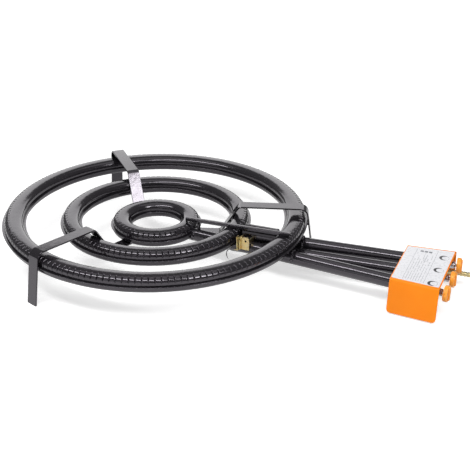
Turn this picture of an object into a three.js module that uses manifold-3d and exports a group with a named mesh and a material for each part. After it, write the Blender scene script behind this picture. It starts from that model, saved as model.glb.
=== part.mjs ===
// Three-ring gas burner for paella pans, in millimetres, +Z up, with the feet on z = 0.
// Three hollow rings share one upright axis. Each is two pressed shells: a lid whose outer
// skirt is fluted into flame ports, seated in a trough with a turned-out lip. One mixing
// tube feeds each ring. The tubes fan out towards +X into a folded sheet casing, where
// three gas taps on one manifold pipe stand in line with them. Three bent flat bars carry
// the rings, stand on the floor and hold the pan above the flames.
// The origin is on the floor under the middle of the whole burner.

import * as THREE from 'three';
import { mergeVertices } from 'three/addons/utils/BufferGeometryUtils.js';
import Module from 'manifold-3d';

const wasm = await Module();
wasm.setup();

// Clearances shared by the whole burner
const seatClearance = 0.3;
const runningClearance = 0.08;
const cutOverrun = 5;
const joinTolerance = 0.0001;

// Rings, by radius at the lip, width of the section and height of the crown. The crowns
// step down towards the middle.
const ringHeight = 29;
const outerRingRadius = 300;
const outerRingWidth = 46;
const outerRingTop = 89.5;
const outerRingPorts = 160;
const outerRingSides = 44;
const middleRingShare = 0.6267;
const middleRingWidth = 42;
const middleRingDrop = 6.9;
const middleRingPorts = 100;
const middleRingSides = 36;
const innerRingShare = 0.3;
const innerRingWidth = 43;
const innerRingDrop = 16.5;
const innerRingPorts = 48;
const innerRingSides = 24;

// Pressed sheet section shared by the three rings
const ringSheet = 1.5;
const lipShare = 0.535;
const lipWidth = 3;
const lipDepth = 2.5;
const lipBelowCrown = ringHeight * lipShare;
const troughCorner = 8;
const lidCorner = 12;
const lidSeatDepth = 2.5;
const fluteDepth = 2.2;
const fluteTopAngle = 45;
const shoulderAngle = 67;

// Mixing tubes, from their rings to their bell mouths in the casing
const tubeRadius = 13;
const tubeWall = 2;
const tubeSides = 16;
const tubeFanAngle = 5.5;
const tubeMouthReach = 511;
const tubeMouthFlare = 2.8;
const tubeMouthLength = 10;
const tubeSetIn = 12;
const tubeGap = 1;
const outerTubeDrop = 9.9;
const middleTubeDrop = 18.6;
const innerTubeDrop = -7;
const feedPortWidth = 9;
const feedPortLength = 20;
const riserRadius = 7;
const riserBore = 5.5;
const riserProud = 3;
const riserSetIn = 4;

// Flat bar legs, which are pan rests too
const barWidth = 25;
const barThickness = 3;
const flameClearance = 13.5;
const legSplayAngle = 7.5;
const legDropAngle = 56.7;
const legOuterBend = 16;
const legInnerBend = 10;
const legLedgeBend = 6;
const legLedgeSetIn = 24;
const bendSteps = 5;
const legFrontAngle = -111.7;
const legBackAngle = 131.9;
const legSideAngle = 17;

// Flame carry-over channel, lying across the crowns
const channelAngle = -5;
const channelWidth = 10;
const channelHeight = 8;
const channelSheet = 1.2;
const channelSetBack = 11;

// Zinc-plated bracket saddled on the front mixing tube
const bracketFromRing = 3;
const bracketLength = 21;
const bracketHeight = 26;
const bracketSheet = 1.5;
const bracketDepth = 22;
const bracketCorner = 4;
const bracketHoleRadius = 2.5;
const bracketHoleDrop = 8;
const bracketHoleInset = 7;

// Manifold pipe, where the taps stand, and their height over the floor
const manifoldSetForward = 35;
const manifoldReach = tubeMouthReach + manifoldSetForward;
const tapHeight = 48;

// Folded casing round the taps
const casingSetBack = 20;
const casingSetForward = 36;
const casingRise = 18;
const casingBase = 3;
const casingStartMargin = 24.7;
const casingEndMargin = 23.5;
const casingSplay = 11;
const casingSheet = 1.5;
const casingFold = 4;
const casingCorner = 7;

// Pressed cross plates under the casing top
const plateSheet = 2;
const plateFlange = 9;
const plateCorner = 4;
const tubePlateSetBack = 18;
const tubePlateBaseDrop = 20;
const tapPlateSetForward = 19.5;
const tapPlateBaseDrop = 11;

// Manifold pipe with its end plug, elbow and hose nozzle
const manifoldDrop = 21;
const manifoldRadius = 8.6;
const manifoldBore = 6.6;
const manifoldFrontMargin = 13.4;
const manifoldBackMargin = 6.9;
const manifoldSides = 12;
const inletMargin = 15.4;
const hexSides = 6;
const endPlugHead = 5;
const endPlugRadius = 9;
const spigotRadius = 6.2;
const spigotLength = 6;
const elbowRadius = 8;
const elbowBore = 4;
const elbowReach = 15;
const nozzleHexRadius = 9.5;
const nozzleHexLength = 7;
const nozzleNeckLength = 12;
const nozzleNeckRadius = 4;
const nozzleBarbRadius = 5;
const nozzleBarbLength = 7;
const nozzleBarbs = 5;
const nozzleBore = 2.6;
const nozzleSpigotRadius = 3.7;
const nozzleSpigotLength = 6;
const nozzleSides = 10;

// Gas taps, by distance along their own axis from the manifold pipe
const tapSides = 12;
const tapBodyRadius = 10;
const tapBodyBack = -14;
const tapBodyFront = 14;
const tapBossRadius = 6;
const tapBossDrop = 14;
const tapGasBore = 2.5;
const taperLarge = 6.6;
const taperSmall = 5.4;
const taperBack = -6;
const plugFront = 13.7;
const plugBore = 2.2;
const plugBoreEnd = 3;
const plugSlotStart = 6.5;
const plugSlotWidth = 2.8;
const bladeStart = 9.5;
const bladeThickness = 2.2;
const bladeWidth = 7;
const stemStart = 16.6;
const stemRadius = 3;
const stemEnd = 48.7;
const stemFlatStart = 41;
const stemFlatDepth = 1;
const collarEnd = 29.7;
const collarLength = 2.2;
const collarRadius = 4.8;
const bonnetFlangeRadius = 12;
const bonnetFlange = 3;
const bonnetRadius = 7;
const bonnetCavityRadius = 5.3;
const bonnetShoulder = 30;
const bonnetEnd = 39;
const jetOutletRadius = 4;
const jetOutletDepth = 5;
const jetHexRadius = 7.5;
const jetHexLength = 8;
const jetTipRadius = 3.4;
const jetTipLength = 5;
const jetOrifice = 0.7;
const jetBore = 2.2;
const jetSpigotRadius = 3.7;
const jetSpigotLength = 4;
const jetSides = 8;

// Knobs
const knobStart = 42;
const knobThickness = 8;
const knobRadius = 15;
const knobWall = 1.8;
const knobHollow = 6;
const knobHubRadius = 5.5;
const knobEdge = 1.5;
const knobGripHeight = 2.4;
const knobGripWidth = 6;
const knobGripLength = 24;
const knobBoreDepth = 7;
const knobSides = 20;

// Finishes
const enamel = { color: 0x2a292c, roughness: 0.28, metalness: 0.1 };
const orangePaint = { color: 0xff8a1c, roughness: 0.42, metalness: 0 };
const orangePlastic = { color: 0xff9320, roughness: 0.45, metalness: 0 };
const yellowZinc = { color: 0xc9b06a, roughness: 0.35, metalness: 0.9 };
const greySteel = { color: 0x8d8f92, roughness: 0.4, metalness: 0.9 };
const brass = { color: 0xb79a5b, roughness: 0.3, metalness: 1 };
const chrome = { color: 0xc9ccd0, roughness: 0.15, metalness: 1 };

const degrees = Math.PI / 180;
const quarterTurn = Math.PI / 2;
const alongXAxis = new THREE.Vector3(1, 0, 0);
const upwards = new THREE.Vector3(0, 0, 1);

// Where the parts of the casing end stand, across the fan of tubes and over the floor
const fanSpread = (reach) => reach * Math.tan(tubeFanAngle * degrees);
const casingStart = tubeMouthReach - casingSetBack;
const casingEnd = manifoldReach + casingSetForward;
const casingTop = tapHeight + casingRise;
const casingStartHalf = fanSpread(casingStart) + casingStartMargin;
const casingEndHalf = fanSpread(casingEnd) + casingEndMargin;
const tubePlateReach = tubeMouthReach - tubePlateSetBack;
const tapPlateReach = manifoldReach + tapPlateSetForward;
const manifoldFront = fanSpread(manifoldReach) + manifoldFrontMargin;
const manifoldBack = fanSpread(manifoldReach) + manifoldBackMargin;
const inletOffset = fanSpread(manifoldReach) + inletMargin;
const panRestHeight = outerRingTop + flameClearance;

// Each ring with its tube
const outerRing = ringWithTube({
  name: 'outer', tap: 'back', angle: tubeFanAngle, riser: false,
  radius: outerRingRadius, width: outerRingWidth, top: outerRingTop,
  ports: outerRingPorts, sides: outerRingSides, tubeDrop: outerTubeDrop,
});
const middleRing = ringWithTube({
  name: 'middle', tap: 'middle', angle: 0, riser: true,
  radius: outerRingRadius * middleRingShare, width: middleRingWidth,
  top: outerRingTop - middleRingDrop,
  ports: middleRingPorts, sides: middleRingSides, tubeDrop: middleTubeDrop,
});
const innerRing = ringWithTube({
  name: 'inner', tap: 'front', angle: -tubeFanAngle, riser: false,
  radius: outerRingRadius * innerRingShare, width: innerRingWidth,
  top: outerRingTop - innerRingDrop,
  ports: innerRingPorts, sides: innerRingSides, tubeDrop: innerTubeDrop,
});

// The middle tube runs lower than the other two and feeds its ring through a riser. Each
// tube's ring end is set aside as far as it needs to pass its neighbour.
middleRing.tubeOffset = passingOffset(middleRing, innerRing);
outerRing.tubeOffset = passingOffset(outerRing, middleRing);
const rings = [outerRing, middleRing, innerRing];

// Geometry helpers

function signedVolume(geometry) {
  const position = geometry.attributes.position;
  const index = geometry.index;
  const a = new THREE.Vector3();
  const b = new THREE.Vector3();
  const c = new THREE.Vector3();
  let total = 0;
  for (let i = 0; i < index.count; i += 3) {
    a.fromBufferAttribute(position, index.getX(i));
    b.fromBufferAttribute(position, index.getX(i + 1));
    c.fromBufferAttribute(position, index.getX(i + 2));
    total += a.dot(b.cross(c));
  }
  return total;
}

// Keeps positions only, joins shared corners and turns the faces outwards
function closedBody(geometry) {
  const bare = geometry.clone();
  for (const name of Object.keys(bare.attributes)) {
    if (name !== 'position') bare.deleteAttribute(name);
  }
  const body = mergeVertices(bare, joinTolerance);
  const index = body.index;
  const kept = [];
  for (let i = 0; i < index.count; i += 3) {
    const corners = [index.getX(i), index.getX(i + 1), index.getX(i + 2)];
    if (new Set(corners).size === 3) kept.push(...corners);
  }
  body.setIndex(kept);
  if (signedVolume(body) < 0) {
    for (let i = 0; i < kept.length; i += 3) {
      [kept[i], kept[i + 1]] = [kept[i + 1], kept[i]];
    }
    body.setIndex(kept);
  }
  return body;
}

function toSolid(geometry) {
  const body = geometry.userData.closed ? geometry : closedBody(geometry);
  return new wasm.Manifold(new wasm.Mesh({
    numProp: 3,
    vertProperties: new Float32Array(body.attributes.position.array),
    triVerts: new Uint32Array(body.index.array),
  }));
}

function fromSolid(solid) {
  const mesh = solid.getMesh();
  const geometry = new THREE.BufferGeometry();
  const corners = new Float32Array(mesh.vertProperties);
  geometry.setAttribute('position', new THREE.BufferAttribute(corners, 3));
  geometry.setIndex(new THREE.BufferAttribute(new Uint32Array(mesh.triVerts), 1));
  geometry.userData.closed = true;
  return geometry;
}

function join(...geometries) {
  return fromSolid(geometries.map(toSolid).reduce((whole, next) => whole.add(next)));
}

function cut(geometry, ...tools) {
  return fromSolid(tools.map(toSolid).reduce((whole, tool) => whole.subtract(tool), toSolid(geometry)));
}

// Solid of revolution about Z from a profile of [radius, height] points
function turnedAboutZ(profile, sides) {
  const points = profile.map(([radius, height]) => new THREE.Vector2(radius, height));
  return new THREE.LatheGeometry(points, sides).rotateX(quarterTurn);
}

// Solid of revolution about X from a profile of [radius, reach] points
function turnedAboutX(profile, sides) {
  const points = profile.map(([radius, reach]) => new THREE.Vector2(radius, reach));
  return new THREE.LatheGeometry(points, sides).rotateZ(-quarterTurn);
}

function rodAlongX(radius, from, to, sides) {
  return turnedAboutX([[0, from], [radius, from], [radius, to], [0, to]], sides);
}

function rodAlongY(radius, from, to, sides) {
  return rodAlongX(radius, from, to, sides).rotateZ(quarterTurn);
}

function rodAlongZ(radius, from, to, sides) {
  return turnedAboutZ([[0, from], [radius, from], [radius, to], [0, to]], sides);
}

// Box between two opposite corners
function block(low, high) {
  const size = high.map((value, axis) => value - low[axis]);
  const middle = low.map((value, axis) => value + size[axis] / 2);
  return new THREE.BoxGeometry(...size).translate(...middle);
}

// Flat outline of [across, up] points, given a depth along X
function extrudedAlongX(outline, from, to) {
  const shape = new THREE.Shape(outline.map(([across, up]) => new THREE.Vector2(across, up)));
  return new THREE.ExtrudeGeometry(shape, { depth: to - from, bevelEnabled: false })
    .rotateX(quarterTurn)
    .rotateZ(quarterTurn)
    .translate(from, 0, 0);
}

// Radius of a cutting cylinder whose flats clear a round of the given radius
function clearing(radius, sides, clearance) {
  return (radius + clearance) / Math.cos(Math.PI / sides);
}

function named(name, geometry, look) {
  const body = geometry.userData.closed ? geometry : closedBody(geometry);
  const mesh = new THREE.Mesh(body, new THREE.MeshStandardMaterial(look));
  mesh.name = name;
  return mesh;
}

function group(...members) {
  const whole = new THREE.Group();
  whole.add(...members);
  return whole;
}

// Outline of a bent strip. The path runs along one face; the other face lies to its left
// at a positive thickness. A point's bend is the radius of the drawn face there.
function bentStrip(path, thickness) {
  const corners = path.map((point) => new THREE.Vector2(...point.at));
  const runs = corners.slice(1).map((corner, i) => corner.clone().sub(corners[i]).normalize());
  const leftOf = (run) => new THREE.Vector2(-run.y, run.x);
  const face = (offset) => corners.flatMap((corner, i) => {
    const before = runs[Math.max(i - 1, 0)];
    const after = runs[Math.min(i, runs.length - 1)];
    if (path[i].level) {
      const sideways = new THREE.Vector2(offset / leftOf(after).x, 0);
      return [corner.clone().add(sideways)];
    }
    const miter = leftOf(before).add(leftOf(after)).divideScalar(1 + before.dot(after));
    const edge = corner.clone().addScaledVector(miter, offset);
    if (!path[i].bend) return [edge];
    const turn = Math.atan2(before.cross(after), before.dot(after));
    const radius = path[i].bend - Math.sign(turn) * offset;
    const start = edge.clone().addScaledVector(before, -radius * Math.tan(Math.abs(turn) / 2));
    const centre = start.clone().addScaledVector(leftOf(before), Math.sign(turn) * radius);
    return Array.from({ length: bendSteps + 1 }, (_, step) => (
      start.clone().rotateAround(centre, (turn * step) / bendSteps)));
  });
  return [...face(0), ...face(thickness).reverse()].map((point) => [point.x, point.y]);
}

// Where the mixing tubes run, in the frame of their own fan angle

function ringWithTube(ring) {
  const hole = ring.radius - ring.width;
  const tubeHeight = ring.top - ringHeight - ring.tubeDrop;
  return { ...ring, hole, tubeEnd: hole + tubeSetIn, tubeOffset: 0, tubeHeight };
}

// How far a tube's ring end moves across its fan line to clear a neighbour in front of it
function passingOffset(ring, neighbour) {
  const turn = (neighbour.angle - ring.angle) * degrees;
  const beside = tubePoint(neighbour, ring.tubeEnd).applyAxisAngle(upwards, turn);
  const apart = 2 * tubeRadius + tubeGap;
  const rise = ring.tubeHeight - beside.z;
  const across = Math.sqrt(Math.max(apart ** 2 - rise ** 2, 0));
  return Math.max(beside.y + across, 0);
}

// The point on a tube's axis at a reach from the rings' axis
function tubePoint(ring, reach) {
  const share = (reach - ring.tubeEnd) / (tubeMouthReach - ring.tubeEnd);
  return tubeStart(ring).addScaledVector(tubeRun(ring), share);
}

function tubeStart(ring) {
  return new THREE.Vector3(ring.tubeEnd, ring.tubeOffset, ring.tubeHeight);
}

function tubeRun(ring) {
  return new THREE.Vector3(tubeMouthReach, 0, tapHeight).sub(tubeStart(ring));
}

function tubeDirection(ring) {
  return new THREE.Quaternion().setFromUnitVectors(alongXAxis, tubeRun(ring).normalize());
}

// A cutter along a tube, in the burner's frame, that leaves the seat clearance round it
function tubeCutter(ring) {
  const radius = clearing(tubeRadius, tubeSides, seatClearance);
  const length = tubeRun(ring).length() + cutOverrun;
  return rodAlongX(radius, -seatClearance, length, tubeSides)
    .applyQuaternion(tubeDirection(ring))
    .translate(...tubeStart(ring).toArray())
    .rotateZ(ring.angle * degrees);
}

// An upright cylinder on the line of the riser, under the middle of the ring's section
function riserCylinder(ring, radius, setUp, top) {
  const place = tubePoint(ring, (ring.hole + ring.radius) / 2);
  return rodAlongZ(radius, place.z + setUp, top, tapSides).translate(place.x, place.y, 0);
}

// Ring shells, drawn with the crown at height zero

function tubeCutters(ring) {
  const passing = rings.filter((tube) => tube.tubeEnd < ring.radius);
  return passing.map((tube) => tubeCutter(tube).translate(0, 0, -ring.top));
}

function troughProfile(ring) {
  const base = -ringHeight;
  const lipTop = -lipBelowCrown;
  const lipFoot = lipTop - lipDepth;
  const wall = ring.radius - lipWidth;
  const holeWall = ring.hole + lipWidth;
  const outside = [
    [ring.radius, lipTop],
    [wall, lipFoot],
    [wall, base + troughCorner],
    [wall - troughCorner, base],
    [holeWall + troughCorner, base],
    [holeWall, base + troughCorner],
    [holeWall, lipFoot],
    [ring.hole, lipTop],
  ];
  const inside = [
    [holeWall + ringSheet, lipTop],
    [holeWall + ringSheet, base + troughCorner],
    [holeWall + troughCorner, base + ringSheet],
    [wall - troughCorner, base + ringSheet],
    [wall - ringSheet, base + troughCorner],
    [wall - ringSheet, lipTop],
  ];
  return [...outside, ...inside, outside[0]];
}

function ringTrough(ring) {
  const tools = tubeCutters(ring);
  if (ring.riser) {
    const radius = clearing(riserRadius, tapSides, seatClearance);
    tools.push(riserCylinder(ring, radius, 0, ring.top).translate(0, 0, -ring.top));
  }
  return cut(turnedAboutZ(troughProfile(ring), ring.sides), ...tools);
}

// One row of corners round the axis; radii repeat in order along the row
function row(radii, height, count) {
  return Array.from({ length: count }, (_, i) => {
    const angle = (2 * Math.PI * i) / count;
    const radius = radii[i % radii.length];
    return [radius * Math.cos(angle), radius * Math.sin(angle), height];
  });
}

// Joins rows of corners into one skin that runs round the axis and closes on its first row
function skinThroughRows(rows) {
  const starts = [];
  let total = 0;
  for (const corners of rows) {
    starts.push(total);
    total += corners.length;
  }
  const triangles = [];
  rows.forEach((corners, place) => {
    const next = (place + 1) % rows.length;
    const here = corners.length;
    const there = rows[next].length;
    let i = 0;
    let j = 0;
    while (i < here || j < there) {
      const a = starts[place] + (i % here);
      const b = starts[next] + (j % there);
      const stepHere = j >= there || (i < here && (2 * i + 1) * there <= (2 * j + 1) * here);
      if (stepHere) {
        i += 1;
        triangles.push(a, starts[place] + (i % here), b);
      } else {
        j += 1;
        triangles.push(a, starts[next] + (j % there), b);
      }
    }
  });
  const geometry = new THREE.BufferGeometry();
  const positions = new Float32Array(rows.flat(2));
  geometry.setAttribute('position', new THREE.BufferAttribute(positions, 3));
  geometry.setIndex(triangles);
  return geometry;
}

function ringLid(ring) {
  const wall = ring.radius - lipWidth - ringSheet;
  const crest = wall * Math.cos(Math.PI / ring.sides) - seatClearance;
  const valley = crest - fluteDepth;
  const holeFace = ring.hole + lipWidth + ringSheet + seatClearance;
  const skirtBase = -lipBelowCrown - lidSeatDepth;
  const underCorner = lidCorner - ringSheet;
  const outerShoulder = (angle, corner) => [
    crest - lidCorner + corner * Math.cos(angle * degrees),
    corner * Math.sin(angle * degrees) - lidCorner,
  ];
  const holeShoulder = (angle, corner) => [
    holeFace + lidCorner - corner * Math.cos(angle * degrees),
    corner * Math.sin(angle * degrees) - lidCorner,
  ];
  const fluted = (radii, height) => row(radii, height, 2 * ring.ports);
  const plain = ([radius, height]) => row([radius], height, ring.sides);
  const [fluteTopRadius, fluteTopHeight] = outerShoulder(fluteTopAngle, lidCorner);
  return skinThroughRows([
    fluted([crest, valley], skirtBase),
    fluted([fluteTopRadius], fluteTopHeight),
    plain(outerShoulder(shoulderAngle, lidCorner)),
    plain(outerShoulder(90, lidCorner)),
    plain(holeShoulder(90, lidCorner)),
    plain(holeShoulder(shoulderAngle, lidCorner)),
    plain(holeShoulder(fluteTopAngle, lidCorner)),
    plain(holeShoulder(0, lidCorner)),
    plain([holeFace, skirtBase]),
    plain([holeFace + ringSheet, skirtBase]),
    plain(holeShoulder(0, underCorner)),
    plain(holeShoulder(90, underCorner)),
    plain(outerShoulder(90, underCorner)),
    plain([valley - ringSheet, -lidCorner]),
    plain([valley - ringSheet, skirtBase]),
  ]);
}

function ringShells(ring) {
  const lid = named(`${ring.name}_ring_lid`, cut(ringLid(ring), ...tubeCutters(ring)), enamel);
  const trough = named(`${ring.name}_ring_trough`, ringTrough(ring), enamel);
  const shells = group(lid, trough);
  shells.position.z = ring.top;
  return shells;
}

// Mixing tubes, drawn along X from the ring end

function mixingTube(ring) {
  const length = tubeRun(ring).length();
  const bore = tubeRadius - tubeWall;
  const flareStart = length - tubeMouthLength;
  const mouth = tubeRadius + tubeMouthFlare;
  const tube = turnedAboutX([
    [0, 0],
    [tubeRadius, 0],
    [tubeRadius, flareStart],
    [mouth, length],
    [mouth - tubeWall, length],
    [bore, flareStart],
    [bore, tubeWall],
    [0, tubeWall],
  ], tubeSides);
  if (!ring.riser) {
    const low = [tubeWall, -feedPortWidth / 2, 0];
    const high = [tubeWall + feedPortLength, feedPortWidth / 2, tubeRadius + cutOverrun];
    return cut(tube, block(low, high));
  }
  const toTube = (geometry) => geometry
    .translate(...tubeStart(ring).negate().toArray())
    .applyQuaternion(tubeDirection(ring).invert());
  const top = ring.top - ringHeight + ringSheet + riserProud;
  const riser = riserCylinder(ring, riserRadius, tubeRadius - riserSetIn, top);
  const hole = riserCylinder(ring, riserBore, 0, top + cutOverrun);
  return cut(join(tube, toTube(riser)), toTube(hole));
}

function placedTube(ring) {
  const tube = named(`${ring.name}_mixing_tube`, mixingTube(ring), enamel);
  tube.position.copy(tubeStart(ring));
  tube.quaternion.copy(tubeDirection(ring));
  const fan = group(tube);
  fan.rotation.z = ring.angle * degrees;
  return fan;
}

// Legs, drawn in the XZ plane. The outer face of the upright touches the outer ring's lip,
// the drop touches the middle ring's lip, and the inner ring stands on the ledge.

function legGeometry() {
  const splay = Math.tan(legSplayAngle * degrees);
  const slope = Math.tan(legDropAngle * degrees);
  const dropWidth = (barThickness + seatClearance) / Math.sin(legDropAngle * degrees);
  const outerLip = outerRing.top - lipBelowCrown;
  const outerFace = outerRing.radius + seatClearance
    + barThickness / Math.cos(legSplayAngle * degrees);
  const middleLip = middleRing.top - lipBelowCrown;
  const holeFlat = middleRing.hole * Math.cos(Math.PI / middleRing.sides);
  const holeContact = Math.sqrt(holeFlat ** 2 - (barWidth / 2) ** 2);
  const innerBend = holeContact - dropWidth + (panRestHeight - middleLip) / slope;
  const ledge = innerRing.top - ringHeight - seatClearance;
  const outline = bentStrip([
    { at: [outerFace + outerLip * splay, 0], level: true },
    { at: [outerFace - (panRestHeight - outerLip) * splay, panRestHeight], bend: legOuterBend },
    { at: [innerBend, panRestHeight], bend: legInnerBend },
    { at: [innerBend - (panRestHeight - ledge) / slope, ledge], bend: legLedgeBend },
    { at: [innerRing.radius - legLedgeSetIn, ledge] },
  ], barThickness);
  const shape = new THREE.Shape(outline.map(([reach, up]) => new THREE.Vector2(reach, up)));
  return new THREE.ExtrudeGeometry(shape, { depth: barWidth, bevelEnabled: false })
    .rotateX(quarterTurn)
    .translate(0, barWidth / 2, 0);
}

function leg(name, angle) {
  const bar = named(name, legGeometry(), enamel);
  bar.rotation.z = angle * degrees;
  return bar;
}

// Carry-over channel: an upturned U that lies on the two larger crowns, with its inner
// end turned down onto the smallest

function carryOverChannel() {
  const crownEdge = (ring) => ring.hole + lipWidth + ringSheet + seatClearance + lidCorner;
  const rise = outerRing.top - middleRing.top;
  const tilt = Math.atan2(rise, crownEdge(outerRing) - crownEdge(middleRing));
  const channelStart = (innerRing.hole + innerRing.radius) / 2;
  const channelEnd = outerRing.radius - channelSetBack;
  const startHeight = middleRing.top + seatClearance
    - (crownEdge(middleRing) - channelStart) * Math.tan(tilt);
  const length = (channelEnd - channelStart) / Math.cos(tilt);
  const tabDrop = (startHeight - innerRing.top - seatClearance) / Math.cos(tilt);
  const half = channelWidth / 2;
  const shell = join(
    block([0, -half, 0], [length, half, channelHeight]),
    block([0, -half, -tabDrop], [channelSheet, half, channelHeight]),
  );
  const hollow = block(
    [channelSheet, channelSheet - half, -cutOverrun],
    [length + cutOverrun, half - channelSheet, channelHeight - channelSheet],
  );
  const channel = named('carry_over_channel', cut(shell, hollow), enamel);
  channel.position.set(channelStart, 0, startHeight);
  channel.rotation.y = -tilt;
  const radial = group(channel);
  radial.rotation.z = channelAngle * degrees;
  return radial;
}

// Zinc bracket: a face plate beside the front tube with two cheeks saddled over the tube

function zincBracket() {
  const face = -tubeRadius - seatClearance;
  const front = face - bracketSheet;
  const bracketStart = middleRing.radius + bracketFromRing;
  const end = bracketStart + bracketLength;
  const bracketBase = tubePoint(innerRing, bracketStart).z;
  const bracketTop = bracketBase + bracketHeight;
  const plate = new THREE.Shape();
  plate.moveTo(0, 0);
  plate.lineTo(bracketLength, 0);
  plate.lineTo(bracketLength, bracketHeight - bracketCorner);
  plate.quadraticCurveTo(
    bracketLength,
    bracketHeight,
    bracketLength - bracketCorner,
    bracketHeight,
  );
  plate.lineTo(0, bracketHeight);
  plate.closePath();
  const facePlate = new THREE.ExtrudeGeometry(plate, {
    depth: bracketSheet,
    bevelEnabled: false,
    curveSegments: bendSteps,
  }).rotateX(quarterTurn).translate(bracketStart, face, bracketBase);
  const cheek = (from) => block(
    [from, front, bracketBase],
    [from + bracketSheet, front + bracketDepth, bracketTop - bracketCorner],
  );
  const hole = rodAlongY(bracketHoleRadius, front - cutOverrun, face + cutOverrun, tapSides)
    .translate(end - bracketHoleInset, 0, bracketTop - bracketHoleDrop);
  const tube = tubeCutter(innerRing).rotateZ(-innerRing.angle * degrees);
  const whole = join(facePlate, cheek(bracketStart), cheek(end - bracketSheet));
  const bracket = named('zinc_bracket', cut(whole, hole, tube), yellowZinc);
  bracket.rotation.z = innerRing.angle * degrees;
  return bracket;
}

// Casing and its cross plates

function casingHalf(reach) {
  const share = (reach - casingStart) / (casingEnd - casingStart);
  return casingStartHalf + (casingEndHalf - casingStartHalf) * share;
}

function casing() {
  const wide = casingStartHalf + casingSplay;
  const section = bentStrip([
    { at: [-wide, casingBase] },
    { at: [-casingStartHalf, casingTop], bend: casingFold },
    { at: [casingStartHalf, casingTop], bend: casingFold },
    { at: [wide, casingBase] },
  ], -casingSheet);
  const folded = extrudedAlongX(section, casingStart, casingEnd);
  const position = folded.attributes.position;
  for (let i = 0; i < position.count; i += 1) {
    const widening = casingHalf(position.getX(i)) / casingStartHalf;
    position.setY(i, position.getY(i) * widening);
  }
  const across = 2 * wide;
  const cornerCut = (edge, inward) => {
    const middle = edge + inward * casingCorner;
    const beyond = edge - inward * cutOverrun;
    const square = block(
      [Math.min(beyond, middle), -across, casingBase - cutOverrun],
      [Math.max(beyond, middle), across, casingBase + casingCorner],
    );
    const round = rodAlongY(casingCorner, -across - cutOverrun, across + cutOverrun, knobSides);
    return cut(square, round.translate(middle, 0, casingBase + casingCorner));
  };
  const corners = [cornerCut(casingStart, 1), cornerCut(casingEnd, -1)];
  return named('tap_casing', cut(folded, ...corners), orangePaint);
}

// Outline of a cross plate at a reach, inset from the casing's inner faces
function plateOutline(reach, base, inset) {
  const lean = casingSplay / (casingTop - casingBase);
  const slack = (casingSheet + seatClearance) * Math.hypot(1, lean) + inset;
  const top = casingTop - casingSheet - seatClearance - inset;
  const half = (height) => casingHalf(reach) + lean * (casingTop - height) - slack;
  const right = [
    [half(base + inset), base + inset],
    [half(top - plateCorner), top - plateCorner],
    [half(top) - plateCorner, top],
  ];
  const left = right.map(([side, up]) => [-side, up]).reverse();
  return [...right, ...left];
}

function crossPlate(name, reach, baseDrop, holes) {
  const end = reach + plateFlange;
  const base = tapHeight - baseDrop;
  const full = extrudedAlongX(plateOutline(reach, base, 0), reach, end);
  const inside = plateOutline(reach, base, plateSheet);
  const hollow = extrudedAlongX(inside, reach + plateSheet, end + cutOverrun);
  return named(name, cut(full, hollow, ...holes), greySteel);
}

// Manifold pipe and inlet, drawn about the middle of the pipe

function manifoldPipe() {
  const pipe = rodAlongY(manifoldRadius, -manifoldFront, manifoldBack, manifoldSides);
  const reach = manifoldFront + cutOverrun;
  const bore = rodAlongY(manifoldBore, -reach, reach, manifoldSides);
  const bosses = rings.map((ring) => {
    const radius = clearing(tapBossRadius, tapSides, seatClearance);
    const across = manifoldReach * Math.tan(ring.angle * degrees);
    return rodAlongZ(radius, 0, manifoldRadius + cutOverrun, tapSides).translate(0, across, 0);
  });
  return named('manifold_pipe', cut(pipe, bore, ...bosses), greySteel);
}

function manifoldEndPlug() {
  const face = -manifoldFront - seatClearance;
  return named('manifold_end_plug', join(
    rodAlongY(endPlugRadius, face - endPlugHead, face, hexSides),
    rodAlongY(spigotRadius, face - endPlugHead / 2, face + spigotLength, manifoldSides),
  ), greySteel);
}

function inletElbow() {
  const face = manifoldBack + seatClearance;
  const far = inletOffset + elbowRadius;
  const spigotFace = face - spigotLength;
  const body = join(
    rodAlongY(elbowRadius, face, far, manifoldSides),
    rodAlongY(spigotRadius, spigotFace, inletOffset, manifoldSides),
    rodAlongX(elbowRadius, 0, elbowReach, manifoldSides).translate(0, inletOffset, 0),
  );
  return named('inlet_elbow', cut(
    body,
    rodAlongY(elbowBore, spigotFace - cutOverrun, inletOffset, tapSides),
    rodAlongX(elbowBore, 0, elbowReach + cutOverrun, tapSides).translate(0, inletOffset, 0),
  ), greySteel);
}

function hoseNozzle() {
  const hexEnd = seatClearance + nozzleHexLength;
  const barbStart = hexEnd + nozzleNeckLength;
  const profile = [
    [nozzleBore, -nozzleSpigotLength],
    [nozzleSpigotRadius, -nozzleSpigotLength],
    [nozzleSpigotRadius, hexEnd],
    [nozzleBarbRadius, hexEnd],
  ];
  for (let i = 0; i < nozzleBarbs; i += 1) {
    const start = barbStart + i * nozzleBarbLength;
    profile.push([nozzleBarbRadius, start], [nozzleNeckRadius, start + nozzleBarbLength]);
  }
  profile.push([nozzleBore, barbStart + nozzleBarbs * nozzleBarbLength], profile[0]);
  const hex = cut(
    rodAlongX(nozzleHexRadius, seatClearance, hexEnd, hexSides),
    rodAlongX(nozzleBore, -cutOverrun, hexEnd + cutOverrun, nozzleSides),
  );
  const nozzle = named('hose_nozzle', join(turnedAboutX(profile, nozzleSides), hex), brass);
  nozzle.position.set(elbowReach, inletOffset, 0);
  return nozzle;
}

function gasInlet() {
  const inlet = group(manifoldPipe(), manifoldEndPlug(), inletElbow(), hoseNozzle());
  inlet.position.set(manifoldReach, 0, tapHeight - manifoldDrop);
  return inlet;
}

// Gas taps, drawn along X from over the manifold pipe

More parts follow.
